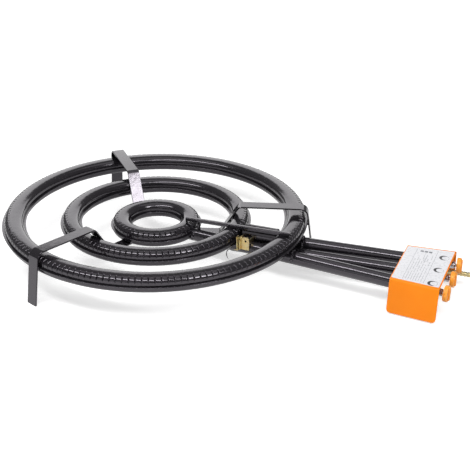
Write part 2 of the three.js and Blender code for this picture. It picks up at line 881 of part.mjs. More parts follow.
function tapBody() {
  const body = join(
    rodAlongX(tapBodyRadius, tapBodyBack, tapBodyFront, tapSides),
    rodAlongZ(tapBossRadius, -tapBossDrop, 0, tapSides),
  );
  const large = clearing(taperLarge, tapSides, runningClearance);
  const small = clearing(taperSmall, tapSides, runningClearance);
  const taper = turnedAboutX([
    [0, taperBack],
    [small, taperBack],
    [large, tapBodyFront],
    [large, tapBodyFront + cutOverrun],
    [0, tapBodyFront + cutOverrun],
  ], tapSides);
  return cut(
    body,
    taper,
    rodAlongX(tapGasBore, tapBodyBack - cutOverrun, 0, tapSides),
    rodAlongX(jetOutletRadius, tapBodyBack - cutOverrun, tapBodyBack + jetOutletDepth, tapSides),
    rodAlongZ(tapGasBore, -tapBossDrop - cutOverrun, 0, tapSides),
  );
}

function tapPlug() {
  const back = taperBack + seatClearance;
  const widening = (taperLarge - taperSmall) / (tapBodyFront - taperBack);
  const radiusAt = (along) => taperSmall + widening * (along - taperBack);
  const plug = turnedAboutX([
    [0, back],
    [radiusAt(back), back],
    [radiusAt(plugFront), plugFront],
    [0, plugFront],
  ], tapSides);
  const slot = block(
    [plugSlotStart, -tapBodyRadius, -plugSlotWidth / 2],
    [plugFront + cutOverrun, tapBodyRadius, plugSlotWidth / 2],
  );
  return cut(
    plug,
    slot,
    rodAlongX(plugBore, back - cutOverrun, plugBoreEnd, tapSides),
    rodAlongY(plugBore, 0, tapBodyRadius, tapSides),
  );
}

function tapBonnet() {
  const start = tapBodyFront + seatClearance;
  const flangeEnd = start + bonnetFlange;
  const stemBore = clearing(stemRadius, tapSides, runningClearance);
  return turnedAboutX([
    [bonnetCavityRadius, start],
    [bonnetFlangeRadius, start],
    [bonnetFlangeRadius, flangeEnd],
    [bonnetRadius, flangeEnd],
    [bonnetRadius, bonnetEnd],
    [stemBore, bonnetEnd],
    [stemBore, bonnetShoulder],
    [bonnetCavityRadius, bonnetShoulder],
    [bonnetCavityRadius, start],
  ], tapSides);
}

function tapStem() {
  const collarStart = collarEnd - collarLength;
  const shaft = turnedAboutX([
    [0, stemStart],
    [stemRadius, stemStart],
    [stemRadius, collarStart],
    [collarRadius, collarStart],
    [collarRadius, collarEnd],
    [stemRadius, collarEnd],
    [stemRadius, stemEnd],
    [0, stemEnd],
  ], tapSides);
  const blade = block(
    [bladeStart, -bladeWidth / 2, -bladeThickness / 2],
    [stemStart + collarLength, bladeWidth / 2, bladeThickness / 2],
  );
  const flat = block(
    [stemFlatStart, -tapBodyRadius, stemRadius - stemFlatDepth],
    [stemEnd + cutOverrun, tapBodyRadius, tapBodyRadius],
  );
  return cut(join(shaft, blade), flat);
}

function jet() {
  const hexEnd = tapBodyBack - seatClearance;
  const hexStart = hexEnd - jetHexLength;
  const tip = hexStart - jetTipLength;
  const spigotEnd = hexEnd + jetSpigotLength;
  const body = join(
    rodAlongX(jetHexRadius, hexStart, hexEnd, hexSides),
    rodAlongX(jetTipRadius, tip, hexEnd, jetSides),
    rodAlongX(jetSpigotRadius, hexStart, spigotEnd, jetSides),
  );
  return cut(
    body,
    rodAlongX(jetOrifice, tip - cutOverrun, hexEnd, hexSides),
    rodAlongX(jetBore, hexStart, spigotEnd + cutOverrun, jetSides),
  );
}

function knob() {
  const front = knobStart + knobThickness;
  const hollowEnd = knobStart + knobHollow;
  const rimInside = knobRadius - knobWall;
  const disc = turnedAboutX([
    [0, knobStart],
    [knobHubRadius, knobStart],
    [knobHubRadius, hollowEnd],
    [rimInside, hollowEnd],
    [rimInside, knobStart],
    [knobRadius, knobStart],
    [knobRadius, front - knobEdge],
    [knobRadius - knobEdge, front],
    [0, front],
  ], knobSides);
  const grip = block(
    [front - knobEdge, -knobGripWidth / 2, -knobGripLength / 2],
    [front + knobGripHeight, knobGripWidth / 2, knobGripLength / 2],
  );
  const boreRadius = clearing(stemRadius, tapSides, runningClearance);
  const boreEnd = knobStart + knobBoreDepth;
  const round = rodAlongX(boreRadius, knobStart - cutOverrun, boreEnd, tapSides);
  const flat = block(
    [knobStart - 2 * cutOverrun, -tapBodyRadius, stemRadius - stemFlatDepth + runningClearance],
    [front, tapBodyRadius, tapBodyRadius],
  );
  return cut(join(disc, grip), cut(round, flat));
}

function gasTap(ring) {
  const tap = group(
    named(`tap_body_${ring.tap}`, tapBody(), brass),
    named(`tap_plug_${ring.tap}`, tapPlug(), brass),
    named(`tap_bonnet_${ring.tap}`, tapBonnet(), chrome),
    named(`tap_stem_${ring.tap}`, tapStem(), greySteel),
    named(`jet_${ring.tap}`, jet(), brass),
    named(`knob_${ring.tap}`, knob(), orangePlastic),
  );
  tap.position.set(manifoldReach / Math.cos(ring.angle * degrees), 0, tapHeight);
  const fan = group(tap);
  fan.rotation.z = ring.angle * degrees;
  return fan;
}

function bonnetCutter(ring) {
  const radius = clearing(bonnetRadius, tapSides, seatClearance);
  const along = manifoldReach / Math.cos(ring.angle * degrees);
  return rodAlongX(radius, tapBodyFront, bonnetEnd, tapSides)
    .translate(along, 0, tapHeight)
    .rotateZ(ring.angle * degrees);
}

// The whole burner, moved so that the origin is under its middle

const burner = group(
  ...rings.map(ringShells),
  ...rings.map(placedTube),
  leg('leg_front', legFrontAngle),
  leg('leg_back', legBackAngle),
  leg('leg_side', legSideAngle),
  carryOverChannel(),
  zincBracket(),
  casing(),
  crossPlate('tube_plate', tubePlateReach, tubePlateBaseDrop, rings.map(tubeCutter)),
  crossPlate('tap_plate', tapPlateReach, tapPlateBaseDrop, rings.map(bonnetCutter)),
  gasInlet(),
  ...rings.map(gasTap),
);

const nozzleTip = manifoldReach + elbowReach + seatClearance + nozzleHexLength
  + nozzleNeckLength + nozzleBarbs * nozzleBarbLength;
burner.position.x = (outerRingRadius - nozzleTip) / 2;

export default group(burner);
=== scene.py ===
import math
import random

import bmesh
import bpy
from mathutils import Matrix, Vector


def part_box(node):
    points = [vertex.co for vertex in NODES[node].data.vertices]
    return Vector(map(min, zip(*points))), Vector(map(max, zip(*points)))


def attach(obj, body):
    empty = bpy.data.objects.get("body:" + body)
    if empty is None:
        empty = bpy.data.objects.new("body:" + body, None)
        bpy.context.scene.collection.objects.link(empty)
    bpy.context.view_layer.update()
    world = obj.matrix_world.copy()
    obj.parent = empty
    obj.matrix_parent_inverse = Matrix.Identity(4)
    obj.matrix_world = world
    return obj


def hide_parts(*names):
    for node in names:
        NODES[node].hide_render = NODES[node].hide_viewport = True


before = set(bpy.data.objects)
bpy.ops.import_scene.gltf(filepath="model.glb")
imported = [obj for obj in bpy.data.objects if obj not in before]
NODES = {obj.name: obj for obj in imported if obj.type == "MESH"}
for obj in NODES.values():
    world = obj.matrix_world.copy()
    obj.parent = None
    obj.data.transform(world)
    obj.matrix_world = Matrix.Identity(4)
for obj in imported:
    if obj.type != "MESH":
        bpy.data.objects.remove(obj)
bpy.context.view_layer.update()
SCENE = bpy.context.scene
MM = 0.001
STILL = Matrix.Identity(4)

# The rings' axis stands at the middle of the outer trough
ring_low, ring_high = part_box("outer_ring_trough")
AXIS = Vector(((ring_low.x + ring_high.x) / 2, (ring_low.y + ring_high.y) / 2, 0))
TO_FRAME = Matrix.Translation(AXIS) @ Matrix.Scale(MM, 4)

# Sizes in millimetres from the rings' axis and the floor, and angles in degrees
TUBE_FAN = 5.5
TAPS = {"front": -TUBE_FAN, "middle": 0, "back": TUBE_FAN}
LEGS = {"leg_front": -111.7, "leg_back": 131.9, "leg_side": 17}
MOUTH_REACH = 511
MANIFOLD_REACH = 546
TAP_HEIGHT = 48
SEAT_GAP = 0.3

# "top" is the crown's height and "steps" the trough's facets. A ring's tube is turned by "fan",
# and ends under the ring at "end", "offset" and "height"
OUTER = {"radius": 300, "hole": 254, "top": 89.5, "ports": 160, "steps": 224,
         "fan": TUBE_FAN, "end": 266, "offset": 3.76, "height": 50.6}
MIDDLE = {"radius": 188, "hole": 146, "top": 82.6, "ports": 100, "steps": 160,
          "fan": 0, "end": 158, "offset": 7.07, "height": 35.0}
INNER = {"radius": 90, "hole": 47, "top": 73, "ports": 48, "steps": 112,
         "fan": -TUBE_FAN, "end": 59, "offset": 0, "height": 51.0}
RINGS = {"outer": OUTER, "middle": MIDDLE, "inner": INNER}
RING_DEPTH = 29
SHEET = 1.5
LIP_DROP = 15.515
LIP_WIDTH = 3


# Materials

def add_node(tree, kind, inputs, **settings):
    """A new node. Each input, by name or number, is a value or a socket to link from."""
    made = tree.nodes.new(kind)
    for key, value in settings.items():
        setattr(made, key, value)
    for key, value in inputs.items():
        if isinstance(value, bpy.types.NodeSocket):
            tree.links.new(value, made.inputs[key])
        else:
            made.inputs[key].default_value = value
    return made


class Look:
    """A Principled material under construction. Noise scales count waves in a metre."""

    def __init__(self, name, constants):
        self.material = bpy.data.materials.new(name)
        self.material.use_nodes = True
        self.tree = self.material.node_tree
        self.shader = self.tree.nodes["Principled BSDF"]
        for key, value in constants.items():
            self.shader.inputs[key].default_value = value
        self.place = self.add("ShaderNodeTexCoord", {}).outputs["Object"]
        self.normal = None

    def add(self, kind, inputs, **settings):
        return add_node(self.tree, kind, inputs, **settings)

    def noise(self, scale, detail, distortion=0):
        inputs = {"Vector": self.place, "Scale": scale, "Detail": detail, "Distortion": distortion}
        return self.add("ShaderNodeTexNoise", inputs).outputs["Fac"]

    def cells(self, scale, output):
        return self.add("ShaderNodeTexVoronoi", {"Vector": self.place, "Scale": scale}).outputs[output]

    def ramp(self, source, low, high, to_low, to_high):
        inputs = {"Value": source, "From Min": low, "From Max": high, "To Min": to_low, "To Max": to_high}
        return self.add("ShaderNodeMapRange", inputs, clamp=True).outputs["Result"]

    def mixed(self, share, first, second):
        """A mix of two colours. Inputs 6 and 7 are the colour sockets, and output 2 the colour."""
        inputs = {"Factor": share}
        for key, value in ((6, first), (7, second)):
            inputs[key] = (*value, 1) if isinstance(value, tuple) else value
        return self.add("ShaderNodeMix", inputs, data_type="RGBA").outputs[2]

    def colour(self, source):
        self.tree.links.new(source, self.shader.inputs["Base Color"])

    def rough(self, scale, detail, low, high):
        source = self.ramp(self.noise(scale, detail), 0.3, 0.7, low, high)
        self.tree.links.new(source, self.shader.inputs["Roughness"])

    def bump(self, scale, detail, distance):
        """Bumps of noise, on top of any that are there already."""
        inputs = {"Height": self.noise(scale, detail), "Strength": 1, "Distance": distance}
        if self.normal is not None:
            inputs["Normal"] = self.normal
        self.normal = self.add("ShaderNodeBump", inputs).outputs["Normal"]
        self.tree.links.new(self.normal, self.shader.inputs["Normal"])


def enamel_look():
    """Glossy black enamel with soft waves, a finer ripple and sparse pale flecks."""
    look = Look("black_enamel", {"IOR": 1.68, "Specular Tint": (0.97, 0.91, 1.0, 1)})
    speck = look.ramp(look.cells(620, "Distance"), 0.10, 0.16, 1, 0)
    sparse = look.ramp(look.noise(210, 1), 0.47, 0.56, 0, 1)
    fleck = look.add("ShaderNodeMath", {0: speck, 1: sparse}, operation="MULTIPLY").outputs[0]
    cloud = look.mixed(look.noise(22, 3), (0.0055, 0.0050, 0.0062), (0.012, 0.011, 0.0132))
    look.colour(look.mixed(fleck, cloud, (0.16, 0.155, 0.17)))
    look.rough(45, 3, 0.07, 0.14)
    look.bump(75, 2, 0.00016)
    look.bump(420, 2, 0.00007)
    return look.material


def orange_paint_look():
    """Satin powder coat with fine grain over a slight orange peel."""
    look = Look("orange_paint", {"IOR": 1.48, "Specular IOR Level": 0.25})
    look.colour(look.mixed(look.noise(30, 3), (0.92, 0.228, 0.003), (0.97, 0.272, 0.006)))
    look.rough(300, 3, 0.36, 0.50)
    look.bump(1500, 2, 0.00007)
    look.bump(260, 1, 0.00014)
    return look.material


def orange_plastic_look():
    look = Look("orange_plastic", {"IOR": 1.49, "Specular IOR Level": 0.4,
                                   "Subsurface Weight": 0.06, "Subsurface Scale": 0.002})
    look.colour(look.mixed(look.noise(60, 2), (0.95, 0.330, 0.030), (0.98, 0.390, 0.045)))
    look.rough(900, 3, 0.30, 0.42)
    look.bump(2600, 2, 0.00004)
    return look.material


def yellow_zinc_look():
    """Yellow passivated zinc that turns greenish in patches, with a few pink stains."""
    look = Look("yellow_zinc", {"Metallic": 1.0})
    patches = look.ramp(look.noise(70, 3), 0.35, 0.65, 0, 1)
    stains = look.ramp(look.noise(150, 2, distortion=1.2), 0.55, 0.75, 0, 0.5)
    base = look.mixed(patches, (0.66, 0.50, 0.22), (0.60, 0.55, 0.33))
    look.colour(look.mixed(stains, base, (0.62, 0.36, 0.30)))
    look.rough(400, 3, 0.26, 0.42)
    look.bump(1400, 3, 0.00006)
    return look.material


def zinc_steel_look():
    """Zinc plate with faint spangles."""
    look = Look("zinc_steel", {"Metallic": 1.0})
    look.colour(look.mixed(look.cells(160, "Color"), (0.42, 0.43, 0.45), (0.55, 0.56, 0.58)))
    look.rough(250, 3, 0.30, 0.46)
    look.bump(900, 2, 0.00006)
    return look.material


def brass_look():
    """Turned brass, tarnished in patches."""
    look = Look("brass", {"Metallic": 1.0})
    tarnish = look.ramp(look.noise(180, 4), 0.42, 0.68, 0, 1)
    look.colour(look.mixed(tarnish, (0.62, 0.50, 0.25), (0.36, 0.33, 0.20)))
    look.rough(600, 3, 0.22, 0.40)
    look.bump(2400, 2, 0.00003)
    return look.material


def chrome_look():
    look = Look("chrome", {"Metallic": 1.0})
    look.colour(look.mixed(look.noise(90, 2), (0.62, 0.63, 0.65), (0.74, 0.74, 0.76)))
    look.rough(500, 2, 0.10, 0.22)
    look.bump(1500, 2, 0.00002)
    return look.material


def sticker_look():
    look = Look("sticker_vinyl", {"IOR": 1.46, "Coat Weight": 0.3, "Coat Roughness": 0.12})
    look.colour(look.mixed(look.noise(40, 2), (0.70, 0.70, 0.73), (0.75, 0.75, 0.78)))
    look.rough(200, 2, 0.24, 0.34)
    look.bump(160, 1, 0.00006)
    return look.material


def ink_look(name, dark, pale):
    look = Look(name, {"IOR": 1.46})
    look.colour(look.mixed(look.noise(700, 3), dark, pale))
    look.rough(400, 2, 0.3, 0.45)
    return look.material


ENAMEL = enamel_look()
PAINT = orange_paint_look()
PLASTIC = orange_plastic_look()
YELLOW_ZINC = yellow_zinc_look()
ZINC = zinc_steel_look()
BRASS = brass_look()
CHROME = chrome_look()
STICKER = sticker_look()
DARK_INK = ink_look("dark_ink", (0.018, 0.018, 0.022), (0.03, 0.03, 0.035))
GREY_INK = ink_look("grey_ink", (0.15, 0.155, 0.18), (0.22, 0.225, 0.25))


# Mesh helpers. Shapes are drawn in millimetres and set into the frame by a matrix.

PIECE_MERGE = 0.001 * MM
NODE_MERGE = 0.002 * MM
FLAT_ANGLE = 1
CRISP_ANGLE = 28


def turn(degrees, axis="Z"):
    return Matrix.Rotation(math.radians(degrees), 4, axis)


def shift(x=0, y=0, z=0):
    return Matrix.Translation((x, y, z))


TO_FRONT_TUBE = TO_FRAME @ turn(-TUBE_FAN)


def piece(name, bm, look, replaced=(), body="burner", sharp=32, matrix=TO_FRAME):
    """An object from a mesh, riding on a body. Edges over sharp degrees stay crisp."""
    bmesh.ops.transform(bm, matrix=matrix, verts=bm.verts)
    bmesh.ops.remove_doubles(bm, verts=bm.verts, dist=PIECE_MERGE)
    bmesh.ops.recalc_face_normals(bm, faces=bm.faces)
    mesh = bpy.data.meshes.new(name)
    bm.to_mesh(mesh)
    bm.free()
    mesh.materials.append(look)
    mesh.shade_smooth()
    mesh.set_sharp_from_angle(angle=math.radians(sharp))
    made = bpy.data.objects.new(name, mesh)
    SCENE.collection.objects.link(made)
    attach(made, body)
    if replaced:
        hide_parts(*replaced)


def skin(bm, rows, closed=True):
    """Quads through rows of points, each row a loop. Rows that aren't closed get end faces."""
    made = [[bm.verts.new(p) for p in row] for row in rows]
    pairs = list(zip(made, made[1:]))
    if closed:
        pairs.append((made[-1], made[0]))
    for first, second in pairs:
        count = len(first)
        for i in range(count):
            j = (i + 1) % count
            bm.faces.new((first[i], first[j], second[j], second[i]))
    if not closed:
        bm.faces.new(made[0])
        bm.faces.new(list(reversed(made[-1])))


def circle(steps):
    """The angle, cosine and sine of each step round a full turn."""
    angles = [2 * math.pi * k / steps for k in range(steps)]
    return [(angle, math.cos(angle), math.sin(angle)) for angle in angles]


def turned(bm, profile, steps, matrix=STILL, along="X"):
    """A profile of (radius, distance along the axis), turned about X or Z."""
    rows = []
    for _, c, s in circle(steps):
        if along == "X":
            points = [Vector((distance, radius * c, radius * s)) for radius, distance in profile]
        else:
            points = [Vector((radius * c, radius * s, distance)) for radius, distance in profile]
        rows.append([matrix @ point for point in points])
    skin(bm, rows)


def arc(x, y, radius, start, end, steps):
    angles = [math.radians(start + (end - start) * k / steps) for k in range(steps + 1)]
    return [(x + radius * math.cos(a), y + radius * math.sin(a)) for a in angles]


def block(bm, low, high, matrix=STILL, edge=0, segments=2):
    """A box between two corners, with its edges rounded by edge."""
    made = bmesh.ops.create_cube(bm, size=1)["verts"]
    size = Vector(high) - Vector(low)
    middle = (Vector(high) + Vector(low)) / 2
    for v in made:
        v.co = Vector(c * s for c, s in zip(v.co, size)) + middle
    if edge:
        edges = list(dict.fromkeys(e for v in made for e in v.link_edges))
        made = bmesh.ops.bevel(bm, geom=edges, offset=edge, segments=segments,
                               profile=0.5, affect="EDGES")["verts"]
    for v in made:
        v.co = matrix @ v.co


def hexagon(bm, bore, flat, corner, start, end, chamfer):
    """A hexagon about X, flat from the axis to each side, its two faces cut round at corner."""
    sixth = math.pi / 3
    rows = []
    for angle, c, s in circle(48):
        reach = flat / math.cos((angle + sixth / 2) % sixth - sixth / 2)
        face = min(reach, corner)
        loop = ((bore, start), (face, start), (reach, start + chamfer),
                (reach, end - chamfer), (face, end), (bore, end))
        rows.append([Vector((x, radius * c, radius * s)) for radius, x in loop])
    skin(bm, rows)


def finer(name, node, look, edge, body="burner"):
    """A copy of a CAD node with its flat faces joined and its sharp edges rounded by edge."""
    bm = bmesh.new()
    bm.from_mesh(NODES[node].data)
    bmesh.ops.remove_doubles(bm, verts=bm.verts, dist=NODE_MERGE)
    bmesh.ops.dissolve_limit(bm, angle_limit=math.radians(FLAT_ANGLE), verts=bm.verts, edges=bm.edges)
    crisp_from = math.radians(CRISP_ANGLE)
    crisp = [e for e in bm.edges if len(e.link_faces) == 2 and e.calc_face_angle(0) > crisp_from]
    bmesh.ops.bevel(bm, geom=crisp, offset=edge * MM, segments=2, profile=0.5,
                    affect="EDGES", clamp_overlap=True)
    piece(name, bm, look, (node,), body, matrix=STILL)


# Rings

LID_HEIGHT = 12
LID_FULLNESS = 0.78
LID_SLACK = 0.25
LID_SEAT_DEPTH = 2.5
LID_STEPS = 30
FLUTE_SHARES = (0, 0.045, 0.09, 0.135, 0.18, 0.34, 0.5, 0.66, 0.82, 0.865, 0.91, 0.955)
FLUTE_HALF = 0.135
FLUTE_DEPTH = 2.4
FLUTE_SINK = 0.7
FLUTE_FOOT_SHARE = 0.12
FLUTE_FOOT_ANGLE = 26
FLUTE_TOP_ANGLE = 74
FLUTE_TOP_FADE = 20


def eased(value):
    value = min(max(value, 0), 1)
    return value * value * (3 - 2 * value)


def flute_fade(shoulder):
    """Each flute is deepest in the lid's shoulder and runs out shallower at the lip."""
    top = eased((FLUTE_TOP_ANGLE - shoulder) / FLUTE_TOP_FADE)
    foot = FLUTE_FOOT_SHARE + (1 - FLUTE_FOOT_SHARE) * eased(shoulder / FLUTE_FOOT_ANGLE)
    return top * foot


def lid_section(ring):
    """Points of (radius, height, angle round the dome), from the outer foot over and back."""
    crest = ring["radius"] - LIP_WIDTH - SHEET - LID_SLACK
    hole_face = ring["hole"] + LIP_WIDTH + SHEET + LID_SLACK
    middle, half = (crest + hole_face) / 2, (crest - hole_face) / 2
    base = -LIP_DROP - LID_SEAT_DEPTH
    dome = []
    for k in range(LID_STEPS + 1):
        angle = 180 * k / LID_STEPS
        c, s = math.cos(math.radians(angle)), math.sin(math.radians(angle))
        radius = middle + half * math.copysign(abs(c) ** LID_FULLNESS, c)
        dome.append((radius, -LID_HEIGHT + LID_HEIGHT * s ** LID_FULLNESS, angle))
    inner_face, outer_face = hole_face + SHEET, crest - 3.8
    crown, shoulder, shoulder_reach = -1.6, -2.6, half * 0.6
    under = [(inner_face, base), (inner_face, -LID_HEIGHT), (middle - shoulder_reach, shoulder),
             (middle, crown), (middle + shoulder_reach, shoulder), (outer_face, -LID_HEIGHT),
             (outer_face, base)]
    return [(crest, base, 0), (crest, -LIP_DROP, 0), *dome, (hole_face, -LIP_DROP, 180),
            (hole_face, base, 180), *[(radius, height, 180) for radius, height in under]]


def lid(name, ring):
    section = lid_section(ring)
    rows = []
    for port in range(ring["ports"]):
        for share in FLUTE_SHARES:
            angle = 2 * math.pi * (port + share) / ring["ports"]
            from_flute = abs((share + 0.5) % 1 - 0.5)
            groove = 0.5 + 0.5 * math.cos(math.pi * min(from_flute / FLUTE_HALF, 1))
            row = []
            for radius, height, shoulder in section:
                pressed = FLUTE_DEPTH * groove * flute_fade(shoulder)
                radius -= pressed
                height -= FLUTE_SINK * pressed * math.sin(math.radians(shoulder))
                row.append((radius * math.cos(angle), radius * math.sin(angle), height + ring["top"]))
            rows.append(row)
    bm = bmesh.new()
    skin(bm, rows)
    piece(f"{name}_lid_shell", bm, ENAMEL, (f"{name}_ring_lid",), sharp=50)


def trough(name, ring):
    """Pressed channel with round corners, and a rolled lip on both sides."""
    slack, tip, fillet, corner = 0.02, 0.7, 1.6, 8
    radius, hole = ring["radius"] - slack, ring["hole"] + slack
    wall, hole_wall = radius - LIP_WIDTH, hole + LIP_WIDTH
    lip, under_lip, floor = -LIP_DROP - tip, -LIP_DROP - 2 * tip - fillet, corner - RING_DEPTH
    profile = [
        *arc(radius - tip, lip, tip, 90, -90, 6),
        *arc(wall + fillet, under_lip, fillet, 90, 180, 5),
        *arc(wall - corner, floor, corner, 0, -90, 9),
        *arc(hole_wall + corner, floor, corner, -90, -180, 9),
        *arc(hole_wall - fillet, under_lip, fillet, 0, 90, 5),
        *arc(hole + tip, lip, tip, -90, -270, 6),
        (hole_wall + SHEET, -LIP_DROP),
        *arc(hole_wall + corner, floor, corner - SHEET, 180, 270, 5),
        *arc(wall - corner, floor, corner - SHEET, 270, 360, 5),
        (wall - SHEET, -LIP_DROP),
    ]
    bm = bmesh.new()
    turned(bm, profile, ring["steps"], shift(z=ring["top"]), "Z")
    piece(f"{name}_trough_shell", bm, ENAMEL, (f"{name}_ring_trough",), sharp=50)


# Mixing tubes

TUBE_RADIUS = 13
TUBE_WALL = 2
TUBE_BORE = TUBE_RADIUS - TUBE_WALL

# Points of the bell mouth as (radius, distance back from the mouth)
BELL_MOUTH = ((13, 13), (13.1, 10), (13.5, 6), (14.3, 3), (15.3, 0.6), (15.8, 0),
              (15.0, 0), (13.8, 1.4), (12.4, 4), (11.4, 8), (11, 12))


def tube_points(ring):
    start = Vector((ring["end"], ring["offset"], ring["height"]))
    run = Vector((MOUTH_REACH, 0, TAP_HEIGHT)) - start
    return start, run


def tube_matrix(ring):
    start, run = tube_points(ring)
    lean = Vector((1, 0, 0)).rotation_difference(run).to_matrix().to_4x4()
    return turn(ring["fan"]) @ Matrix.Translation(start) @ lean


def tube_place(ring, reach):
    start, run = tube_points(ring)
    return start + run * ((reach - ring["end"]) / (MOUTH_REACH - ring["end"]))


def mixing_tube(name, ring):
    """Tube with a domed end under its ring and a bell mouth. The middle one has a riser."""
    length = tube_points(ring)[1].length
    profile = [
        (0, 0), *[(TUBE_BORE + x, TUBE_WALL - y) for x, y in arc(0, 0, TUBE_WALL, 90, 0, 4)],
        *[(radius, length - back) for radius, back in BELL_MOUTH], (TUBE_BORE, TUBE_WALL), (0, TUBE_WALL),
    ]
    bm = bmesh.new()
    turned(bm, profile, 48, tube_matrix(ring))
    if name == "middle":
        radius, bore, set_in, proud = 7, 5.5, 4, 3
        place = tube_place(ring, (ring["hole"] + ring["radius"]) / 2)
        base, top = place.z + TUBE_RADIUS - set_in, ring["top"] - RING_DEPTH + SHEET + proud
        riser = [(radius, base), (radius, top), (bore, top), (bore, base)]
        turned(bm, riser, 32, shift(place.x, place.y), "Z")
    piece(f"{name}_tube_skin", bm, ENAMEL, (f"{name}_mixing_tube",), sharp=45)


def bridging_duct():
    """Open tube between the two larger rings, with its ends cut round to meet their lips."""
    radius, bore = 16, 14
    offset, height = 2, OUTER["top"] - LIP_DROP - 4
    start, end = MIDDLE["radius"] + SEAT_GAP, OUTER["hole"] - SEAT_GAP
    rows = []
    for _, c, s in circle(48):
        row = []
        for reach, from_axis in ((radius, start), (radius, end), (bore, end), (bore, start)):
            y = offset + reach * c
            row.append(Vector((math.sqrt(from_axis ** 2 - y ** 2), y, height + reach * s)))
        rows.append(row)
    bm = bmesh.new()
    skin(bm, rows)
    piece("bridging_duct_tube", bm, ENAMEL, sharp=45)


# Legs

BAR_WIDTH = 25
BAR_THICKNESS = 3
BAR_CHAMFER = 0.7
BEND_STEPS = 12
PAN_REST_HEIGHT = 103


def left_of(run):
    return Vector((-run.y, run.x))


def bent_face(path, offset):
    """The line at an offset to the left of a path of (x, z, bend radius, or "level" for a flat end)."""
    corners = [Vector((x, z)) for x, z, _ in path]
    runs = [(b - a).normalized() for a, b in zip(corners, corners[1:])]
    face = []
    for i, corner in enumerate(corners):
        before, after = runs[max(i - 1, 0)], runs[min(i, len(runs) - 1)]
        bend = path[i][2]
        if bend == "level":
            face.append(corner + Vector((offset / left_of(after).x, 0)))
            continue
        edge = corner + (left_of(before) + left_of(after)) / (1 + before.dot(after)) * offset
        if not bend:
            face.append(edge)
            continue
        angle = math.atan2(before.x * after.y - before.y * after.x, before.dot(after))
        way = math.copysign(1, angle)
        radius = bend - way * offset
        start = edge - before * radius * math.tan(abs(angle) / 2)
        centre = start + left_of(before) * way * radius
        arm = start - centre
        for k in range(BEND_STEPS + 1):
            c, s = math.cos(angle * k / BEND_STEPS), math.sin(angle * k / BEND_STEPS)
            face.append(centre + Vector((arm.x * c - arm.y * s, arm.x * s + arm.y * c)))
    return face


def leg_path():
    """The bar's outer side: upright, pan rest, drop, and ledge under the inner ring."""
    splay_angle, drop_angle = math.radians(7.5), math.radians(56.7)
    splay, slope = math.tan(splay_angle), math.tan(drop_angle)
    drop_width = (BAR_THICKNESS + SEAT_GAP) / math.sin(drop_angle)
    outer_lip, middle_lip = OUTER["top"] - LIP_DROP, MIDDLE["top"] - LIP_DROP
    outer_face = OUTER["radius"] + SEAT_GAP + BAR_THICKNESS / math.cos(splay_angle)

    # In the solids the middle ring's hole has 36 flat sides, and the drop touches one of them
    hole_flat = 146.01 * math.cos(math.pi / 36)
    contact = math.sqrt(hole_flat ** 2 - (BAR_WIDTH / 2) ** 2)
    inner_bend = contact - drop_width + (PAN_REST_HEIGHT - middle_lip) / slope
    ledge, ledge_set_in = INNER["top"] - RING_DEPTH - SEAT_GAP, 24
    return [
        (outer_face + outer_lip * splay, 0, "level"),
        (outer_face - (PAN_REST_HEIGHT - outer_lip) * splay, PAN_REST_HEIGHT, 16),
        (inner_bend, PAN_REST_HEIGHT, 10),
        (inner_bend - (PAN_REST_HEIGHT - ledge) / slope, ledge, 6),
        (INNER["radius"] - ledge_set_in, ledge, 0),
    ]


def leg(name, angle):
    half, thick, edge = BAR_WIDTH / 2, BAR_THICKNESS, BAR_CHAMFER
    section = [(-half, edge), (-half, thick - edge), (-half + edge, thick), (half - edge, thick),
               (half, thick - edge), (half, edge), (half - edge, 0), (-half + edge, 0)]
    path = leg_path()
    rows = []
    for a, b in zip(bent_face(path, 0), bent_face(path, thick)):
        way = (b - a) / thick
        rows.append([Vector((a.x + way.x * h, w, a.y + way.y * h)) for w, h in section])
    bm = bmesh.new()
    skin(bm, rows, closed=False)
    piece(f"{name}_bar", bm, ENAMEL, (name,), sharp=40, matrix=TO_FRAME @ turn(angle))


# Weld beads

BEAD_SIDES = 10
BEAD_PITCH = 2.2
BEAD_RIPPLE = 0.13
BEAD_UNEVEN = 0.05
BEAD_DRIFT = 0.12
BEAD_DRIFT_KEPT = 0.8
BEAD_TAPER_STEPS = 3
BEAD_TIP = 0.35


def bead(bm, path, radius, rng, pitch=BEAD_PITCH, matrix=STILL):
    """A rippled bead swept along points, with tapered ends."""
    points = [Vector(p) for p in path]
    lengths = [0]
    for a, b in zip(points, points[1:]):
        lengths.append(lengths[-1] + (b - a).length)
    total = lengths[-1]
    count = max(int(total / (pitch / 4)), 6)

    def at(distance):
        for i, (a, b) in enumerate(zip(lengths, lengths[1:])):
            if distance <= b or i == len(points) - 2:
                return points[i].lerp(points[i + 1], (distance - a) / max(b - a, 1e-9))

    rows = []
    drift = Vector((0, 0, 0))
    for k in range(count + 1):
        distance = total * k / count
        here = at(distance)
        ahead = (at(min(distance + 0.5, total)) - at(max(distance - 0.5, 0))).normalized()
        side = ahead.cross(Vector((0, 0, 1)))
        if side.length < 0.1:
            side = ahead.cross(Vector((0, 1, 0)))
        side.normalize()
        up = side.cross(ahead)
        drift = drift * BEAD_DRIFT_KEPT + Vector([rng.uniform(-BEAD_DRIFT, BEAD_DRIFT) for _ in range(3)])
        ends = min(1, (k + BEAD_TIP) / BEAD_TAPER_STEPS, (count - k + BEAD_TIP) / BEAD_TAPER_STEPS)
        ripple = 1 + BEAD_RIPPLE * math.cos(2 * math.pi * distance / pitch)
        wide = radius * (ripple + rng.uniform(-BEAD_UNEVEN, BEAD_UNEVEN)) * ends
        rows.append([matrix @ (here + drift + (side * c + up * s) * wide) for _, c, s in circle(BEAD_SIDES)])
    skin(bm, rows, closed=False)


